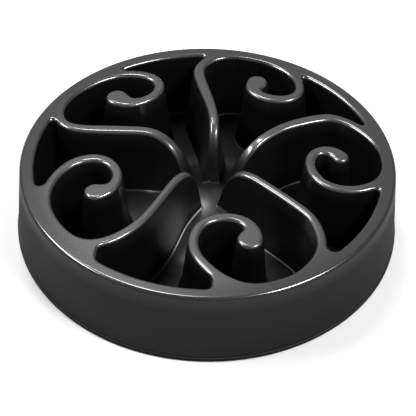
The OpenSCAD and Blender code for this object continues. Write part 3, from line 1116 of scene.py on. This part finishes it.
@dataclass(frozen=True)
class Moulding(Piece):
    """The bowl's one moulded shell: rim, skirt, maze, floor and hollow underside."""

    name: str = "moulded_bowl"
    node: str = "maze_bowl"
    slot: str = "bowl_plastic"
    sizes: BowlSizes = BowlSizes()
    foot: FootSizes = FootSizes()
    detail: MeshDetail = MeshDetail()
    finish: MouldedPlastic = MouldedPlastic()

    @cached_property
    def shape(self) -> MazeShape:
        """The moulding's surfaces."""
        return MazeShape(self.sizes, SECTORS, self.detail)

    def contour_points(self) -> tuple[np.ndarray, list]:
        """Points on the level lines, moved exactly onto their levels.

        Returns:
            The points, and the edges that join neighbours on a line.
        """
        detail = self.detail
        step = detail.grid_step
        half = math.ceil(self.sizes.rim_radius / step) * step
        places = np.arange(-half, half + step / 2, step)
        across, up = np.meshgrid(places, places)
        flat = np.stack([across.ravel(), up.ravel()], axis=1)
        grid = self.shape.field(flat).distance.reshape(across.shape)
        points, edges, targets = [], [], []
        count = 0
        for level in self.shape.levels():
            for line in level_lines(grid, level + detail.level_lift):
                plan = self.thinned(line * step - half)
                points.append(plan)
                targets.append(np.full(len(plan), level))
                index = np.arange(count, count + len(plan))
                edges += np.stack([index, np.roll(index, -1)], axis=1).tolist()
                count += len(plan)
        plan, target = np.vstack(points), np.concatenate(targets)
        for _ in range(detail.settle_rounds):
            found = self.shape.field(plan)
            move = np.clip(found.distance - target, -step, step)
            plan = plan - move[:, None] * found.slope
        return plan, edges

    def thinned(self, line: np.ndarray) -> np.ndarray:
        """A level line with close points on the sinking ends and fewer elsewhere.

        Args:
            line: Points of the closed line.

        Returns:
            The new points.
        """
        detail = self.detail
        plan = resampled(line, detail.contour_step / detail.contour_parts)
        keep = np.arange(len(plan)) % detail.contour_parts == 0
        inner = np.flatnonzero(np.linalg.norm(plan, axis=1) < detail.nose_radius)
        if len(inner):
            sunk = self.sizes.height - self.shape.field(plan[inner]).top
            keep[inner] |= sunk > detail.nose_sunk
        return plan[keep]

    def fill_points(self) -> np.ndarray:
        """Points spread over the floor and, more closely, over dome and sinking ends.

        Returns:
            Plan points in millimetres.
        """
        detail, levels = self.detail, np.array(self.shape.levels())
        wide = self.spread(self.sizes.pocket_radius, detail.fill_step)
        close = self.spread(detail.middle_radius, detail.middle_step)
        wide = wide[np.linalg.norm(wide, axis=1) > detail.middle_radius]
        fine = self.spread(detail.nose_radius, detail.nose_step)
        fine = fine[self.on_nose(fine)]
        points = np.vstack([wide, close[~self.on_nose(close)], fine])
        distance = self.shape.field(points).distance
        gap = np.min(np.abs(distance[:, None] - levels[None, :]), axis=1)
        keep = (distance > levels[-1] + detail.fill_clearance) | (
            (np.linalg.norm(points, axis=1) < detail.middle_radius)
            & (gap > detail.fill_clearance)
        )
        return points[keep]

    def on_nose(self, points: np.ndarray) -> np.ndarray:
        """Whether points lie on the sinking end of a ridge.

        Args:
            points: Plan points, in millimetres.

        Returns:
            One truth value for each point.
        """
        found = self.shape.field(points)
        sunk = self.sizes.height - found.top
        rise = self.shape.upper(points, found) - self.shape.floor(points)
        inner = np.linalg.norm(points, axis=1) < self.detail.nose_radius
        return inner & (sunk > self.detail.nose_sunk) & (rise > 0)

    @staticmethod
    def spread(radius: float, step: float) -> np.ndarray:
        """A staggered pattern of points in a circle.

        Args:
            radius: Radius of the circle.
            step: Distance between points.

        Returns:
            The points.
        """
        rows = np.arange(-radius, radius, step * math.sqrt(3) / 2)
        points = []
        for k, up in enumerate(rows):
            across = np.arange(-radius + (k % 2) * step / 2, radius, step)
            points.append(np.stack([across, np.full_like(across, up)], axis=1))
        points = np.vstack(points)
        return points[np.linalg.norm(points, axis=1) < radius]

    def triangulated(self) -> tuple[np.ndarray, list, np.ndarray]:
        """Plan mesh of the disc inside the rim's rounded edge.

        Returns:
            Plan points, triangles, and the indices of the outer circle in order.
        """
        detail = self.detail
        lines, edges = self.contour_points()
        count = detail.rim_points
        circle = turned(self.sizes.rim_centre, 0.0, count)[:, :2]
        ring = [[k, (k + 1) % count] for k in range(count)]
        edges = ring + [[a + count, b + count] for a, b in edges]
        given = np.vstack([circle, lines, self.fill_points()])
        points = [Vector(point) for point in given]
        made = delaunay_2d_cdt(points, edges, [], 0, detail.merge_distance)
        plan = np.array([tuple(v) for v in made[0]])
        origin = {}
        for new, old in enumerate(made[3]):
            for index in old:
                origin[index] = new
        outer = np.array([origin[k] for k in range(count)])
        return plan, [list(face) for face in made[2]], outer

    def normals(self, plan: np.ndarray) -> np.ndarray:
        """Normals of the visible surface from its heights around each point.

        Args:
            plan: Plan points.

        Returns:
            Unit normals.
        """
        step = self.detail.normal_step
        heights = []
        for axis in range(2):
            for side in (-1, 1):
                moved = plan.copy()
                moved[:, axis] += side * step
                heights.append(self.shape.upper(moved, self.shape.field(moved)))
        across, up = heights[0] - heights[1], heights[2] - heights[3]
        lean = np.stack([across, up, np.full(len(plan), 2 * step)], axis=1)
        return lean / np.linalg.norm(lean, axis=1)[:, None]

    def skirt_profile(self) -> list[tuple[float, float]]:
        """Section of the shell from the rim's edge round to the hollow's top.

        Returns:
            Radii and heights, in order.
        """
        sizes, foot, detail = self.sizes, self.foot, self.detail
        centre, edge = sizes.rim_centre, sizes.rim_round
        level = sizes.height - edge
        bends = np.linspace(QUARTER_DEGREES, sizes.skirt_lean, detail.edge_points)[1:]
        arc = [
            (centre + edge * math.cos(a), level + edge * math.sin(a))
            for a in np.radians(bends)
        ]
        outside, step, pad = sizes.skirt_radius, foot.height + foot.groove, foot.pad
        soft = foot.edge_round
        trim = soft * foot.edge_blend
        heights = np.linspace(arc[-1][1], step + soft, detail.skirt_points)[1:]
        walls = [(outside(height), height) for height in heights]
        groove = [
            (outside(step) - trim, step + trim),
            (outside(step) - soft, step),
            (outside(step) - foot.rebate + soft, step),
            (outside(step) - foot.rebate, step - trim),
            (outside(pad) - foot.rebate, pad + trim),
            (outside(pad) - foot.rebate - trim, pad),
        ]
        low = sizes.floor_height - sizes.floor_thickness + soft
        high = sizes.height - sizes.core_drop - soft
        inside = [
            (outside(pad) - sizes.wall + trim, pad),
            (outside(pad) - sizes.wall, pad + trim),
        ]
        inside += [
            (outside(height) - sizes.wall, height)
            for height in (low, sizes.height / 2, high)
        ]
        return arc + walls + groove + inside

    def build(self) -> bpy.types.Object:
        """Makes the shell and dresses it.

        Returns:
            The object.
        """
        plan, faces, outer = self.triangulated()
        found = self.shape.field(plan)
        above = np.column_stack([plan, self.shape.upper(plan, found)])
        under = np.column_stack([plan, self.shape.lower(plan, found)])
        count, rim = len(plan), len(outer)
        rings = [turned(*corner, rim) for corner in self.skirt_profile()]
        vertices = np.vstack([above, under] + rings)
        starts = [2 * count + k * rim for k in range(len(rings))]
        rows = [outer, *(start + np.arange(rim) for start in starts), outer + count]
        faces += [[a + count for a in reversed(face)] for face in faces]
        for one, two in zip(rows[:-1], rows[1:]):
            nearby, facing = np.roll(one, -1), np.roll(two, -1)
            faces += np.stack([one, two, facing, nearby], axis=1).tolist()
        normals = self.shell_normals(vertices, faces)
        normals[:count] = self.normals(plan)
        return self.place(vertices, faces, self.finish.material(), normals)

    @staticmethod
    def shell_normals(vertices: np.ndarray, faces: list) -> np.ndarray:
        """Vertex normals as the sum of the faces' own.

        Args:
            vertices: Points.
            faces: Triangles and quads.

        Returns:
            Unit normals.
        """
        total = np.zeros_like(vertices)
        for sides in sorted({len(face) for face in faces}):
            index = np.array([face for face in faces if len(face) == sides])
            one = vertices[index[:, 1]] - vertices[index[:, 0]]
            two = vertices[index[:, sides - 1]] - vertices[index[:, 0]]
            across = np.cross(one, two)
            for corner in range(sides):
                np.add.at(total, index[:, corner], across)
        return total / np.maximum(np.linalg.norm(total, axis=1), TINY)[:, None]


@dataclass(frozen=True)
class FootRing(Piece):
    """The soft ring that wraps the lower edge of the skirt."""

    name: str = "soft_foot"
    node: str = "foot_ring"
    slot: str = "foot_rubber"
    sizes: BowlSizes = BowlSizes()
    foot: FootSizes = FootSizes()
    detail: MeshDetail = MeshDetail()
    finish: SoftRubber = SoftRubber()

    def profile(self) -> list[tuple[float, float]]:
        """Section of the ring, anticlockwise.

        Returns:
            Radii and heights.
        """
        sizes, foot = self.sizes, self.foot
        slope = sizes.skirt_slope
        outer = sizes.foot_outer - foot.height * slope / 2 + foot.proud
        seat = sizes.foot_outer - foot.rebate - foot.pad * slope
        inner = sizes.foot_outer - foot.pad * slope - sizes.wall - foot.fit_gap
        bead, soft = foot.pad * foot.bead_share, foot.edge_round
        trim = soft * foot.edge_blend
        bends = np.radians(np.linspace(0, QUARTER_DEGREES, foot.bead_points))
        edge = [
            (outer - bead + bead * math.sin(a), bead - bead * math.cos(a))
            for a in bends
        ]
        top = [
            (outer, foot.height - soft),
            (outer - trim, foot.height - trim),
            (outer - soft, foot.height),
        ]
        inside = [
            (seat - (foot.height - foot.pad) * slope, foot.height),
            (seat, foot.pad),
            (inner, foot.pad),
            (inner - foot.lip_height * slope / 2, foot.lip_height),
            (inner - foot.lip, foot.lip_height),
            (inner - foot.lip, soft),
            (inner - foot.lip + soft, 0.0),
        ]
        return edge + top + inside

    def build(self) -> bpy.types.Object:
        """Makes the ring and dresses it.

        Returns:
            The object.
        """
        count = self.detail.rim_points
        rings = [turned(*corner, count) for corner in self.profile()]
        faces = []
        for k in range(len(rings)):
            one = k * count + np.arange(count)
            two = (k + 1) % len(rings) * count + np.arange(count)
            nearby, facing = np.roll(one, -1), np.roll(two, -1)
            faces += np.stack([one, nearby, facing, two], axis=1).tolist()
        return self.place(np.vstack(rings), faces, self.finish.material())


@dataclass(frozen=True)
class SoftBox:
    """A rectangular studio lamp aimed at the bowl."""

    name: str
    place: tuple
    size: tuple
    power: float
    target: tuple = (0.0, 0.0, 0.03)

    def build(self) -> bpy.types.Object:
        """Makes the lamp.

        Returns:
            The lamp's object.
        """
        data = bpy.data.lights.new(self.name, "AREA")
        data.shape = "RECTANGLE"
        data.size, data.size_y = self.size
        data.energy = self.power
        lamp = bpy.data.objects.new(self.name, data)
        towards = Vector(self.target) - Vector(self.place)
        aim = towards.to_track_quat("-Z", "Y").to_matrix().to_4x4()
        lamp.matrix_world = Matrix.Translation(self.place) @ aim
        bpy.context.scene.collection.objects.link(lamp)
        return lamp


@dataclass(frozen=True)
class Studio:
    """Floor, lamps and surroundings."""

    floor_size: float = 1.7
    world_level: float = 0.26
    view_level: float = 1.0
    white: tuple = (1.0, 1.0, 1.0, 1.0)
    boxes: tuple = (
        SoftBox("left_box", (-0.96, 0.13, 1.15), (0.80, 0.26), 16.0),
        SoftBox("right_box", (0.75, -0.37, 1.23), (0.60, 0.28), 19.0),
        SoftBox("back_box", (-0.20, 0.62, 1.35), (0.28, 0.45), 7.0),
        SoftBox("back_wall", (-0.25, 1.64, 1.15), (2.6, 1.5), 2.8),
    )

    def build(self) -> None:
        """Makes the floor, the lamps and the world."""
        half = self.floor_size / 2
        mesh = bpy.data.meshes.new("floor")
        near = [(-half, -half, 0), (half, -half, 0)]
        far = [(half, half, 0), (-half, half, 0)]
        mesh.from_pydata(near + far, [], [(0, 1, 2, 3)])
        mesh.materials.append(PaleFloor().material())
        floor = bpy.data.objects.new("floor", mesh)
        bpy.context.scene.collection.objects.link(floor)
        for box in self.boxes:
            box.build()
        self.world()

    def world(self) -> None:
        """Makes a plain dim surrounding that the camera sees as white."""
        shader = Shader(bpy.data.worlds.new("studio"))
        seen = shader.signal(shader.node("ShaderNodeLightPath"), "Is Camera Ray")
        dim, white = (
            shader.node("ShaderNodeBackground", Color=self.white, Strength=level)
            for level in (self.world_level, self.view_level)
        )
        bpy.context.scene.world = shader.finish(shader.blend(seen, dim, white))


@dataclass(frozen=True)
class PhotoCamera:
    """Camera at the photograph's viewing angle."""

    place: tuple = (0.0008, -0.6965, 0.6738)
    pitch: float = 43.64
    roll: float = 1.467
    focal_pixels: float = 1343.0
    frame_pixels: float = 416.0
    sensor: float = 36.0
    nearest: float = 0.05

    def build(self) -> bpy.types.Object:
        """Makes the camera and sets it.

        Returns:
            The camera's object.
        """
        pitch, roll = math.radians(self.pitch), math.radians(self.roll)
        ahead = Vector((0.0, math.cos(pitch), -math.sin(pitch)))
        right = Vector((1.0, 0.0, 0.0))
        up = right.cross(ahead)
        across = math.cos(roll) * right + math.sin(roll) * up
        upward = -math.sin(roll) * right + math.cos(roll) * up
        data = bpy.data.cameras.new("photo_camera")
        data.sensor_fit = "HORIZONTAL"
        data.sensor_width = self.sensor
        data.lens = self.focal_pixels * self.sensor / self.frame_pixels
        data.clip_start = self.nearest
        camera = bpy.data.objects.new("photo_camera", data)
        turn = Matrix((across, upward, -ahead)).transposed().to_4x4()
        camera.matrix_world = Matrix.Translation(self.place) @ turn
        bpy.context.scene.collection.objects.link(camera)
        bpy.context.scene.camera = camera
        return camera


def main() -> None:
    """Builds the camera, the pieces and the studio, and reports each piece."""
    logging.basicConfig(level=logging.INFO, format="%(name)s: %(message)s")
    bpy.context.scene.view_settings.view_transform = "Standard"
    PhotoCamera().build()
    for piece in (Moulding(), FootRing()):
        mesh = piece.build().data
        counts = len(mesh.vertices), len(mesh.polygons)
        LOG.info("%s: %d vertices, %d faces", piece.name, *counts)
    Studio().build()


if __name__ == "__main__":
    main()
